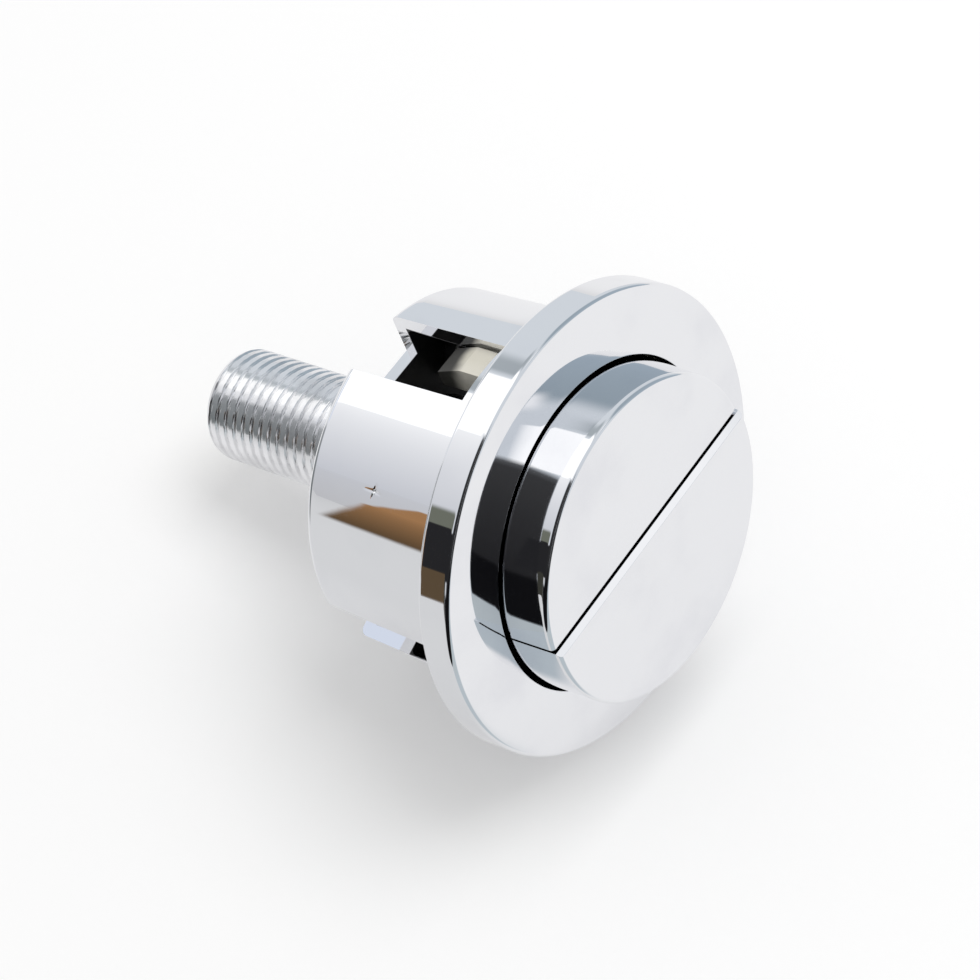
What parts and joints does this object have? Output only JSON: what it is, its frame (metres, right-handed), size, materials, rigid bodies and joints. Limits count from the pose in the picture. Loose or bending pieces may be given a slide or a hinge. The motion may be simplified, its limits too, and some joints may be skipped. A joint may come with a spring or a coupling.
{
  "type": "push button cistern actuator",
  "caption": "Round chromed dual-flush push button for a cistern lid: wide flange, slotted barrel, split button that springs back, and a hollow threaded stem with push rods.",
  "frame": {"origin": "centre of the flange's underside, where the barrel enters the hole in the cistern lid", "axes": "+Z along the barrel's axis towards the button faces; the split between the buttons runs along X, with the small button on the -Y side"},
  "size_m": [0.05, 0.05, 0.0573],
  "materials": {
    "plated_housing": "mirror chrome plating on a moulding",
    "plated_button": "mirror chrome plating on a moulding",
    "stem_metal": "satin plated thread",
    "slider_plastic": "natural off-white moulded plastic",
    "spring_steel": "drawn stainless wire"
  },
  "bodies": {
    "housing": {"housing": "plated_housing", "threaded_stem": "stem_metal", "small_spring_left": "spring_steel", "small_spring_right": "spring_steel", "large_spring_left": "spring_steel", "large_spring_right": "spring_steel"},
    "small_button": {"small_button": "plated_button", "small_slider": "slider_plastic"},
    "large_button": {"large_button": "plated_button", "large_slider": "slider_plastic"}
  },
  "joints": [
    {"name": "small_button_press", "type": "slide", "parent": "housing", "child": "small_button", "axis": [0, 0, -1], "range_m": [0, 0.005], "stiffness_N_per_m": 400, "springref_m": -0.006, "deforming": ["small_spring_left", "small_spring_right"]},
    {"name": "large_button_press", "type": "slide", "parent": "housing", "child": "large_button", "axis": [0, 0, -1], "range_m": [0, 0.005], "stiffness_N_per_m": 400, "springref_m": -0.006, "deforming": ["large_spring_left", "large_spring_right"]}
  ]
}
